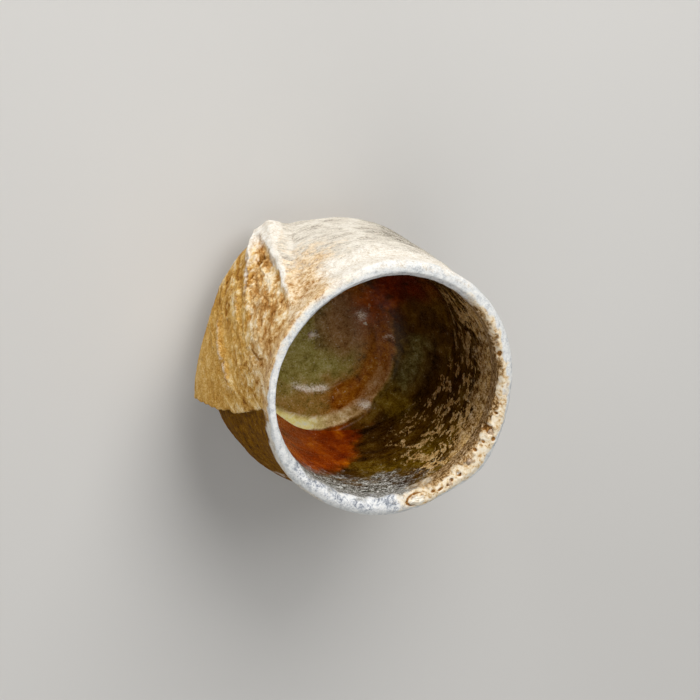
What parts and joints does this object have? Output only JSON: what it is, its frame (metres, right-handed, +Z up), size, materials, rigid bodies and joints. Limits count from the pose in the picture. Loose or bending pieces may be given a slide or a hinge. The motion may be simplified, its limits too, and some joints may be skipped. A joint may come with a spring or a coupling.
{
  "type": "guinomi sake cup",
  "caption": "Small hand-formed stoneware sake cup with a torn tan clay slab outside, a white ash crust on the lip, a glassy olive and amber lining and a turned foot.",
  "frame": {"origin": "centre of the foot ring's flat face, where the cup stands", "axes": "+Z up along the cup's axis to the mouth, +X to the torn edge of the outer slab, +Y to the fuller side of the belly"},
  "size_m": [0.0662, 0.0631, 0.056],
  "materials": {
    "body_clay": "wood-fired stoneware with pale ash, rough",
    "foot_clay": "bare fired clay, rough",
    "slab_clay": "coarse sandy clay, torn, matt",
    "ash_crust": "white ash crust, satin, pitted",
    "ash_glaze": "natural ash glaze, glossy, dark brown to amber",
    "pool_glass": "pooled olive-green ash glass, glossy",
    "feldspar": "half-melted feldspar grains, white"
  },
  "bodies": {
    "root": {"cup_wall": "body_clay", "base_disc": "body_clay", "foot_ring": "foot_clay", "outer_slab": "slab_clay", "rim_ash_crust": "ash_crust", "glaze_lining": "ash_glaze", "glaze_pool": "pool_glass", "feldspar_grains": "feldspar"}
  },
  "joints": []
}
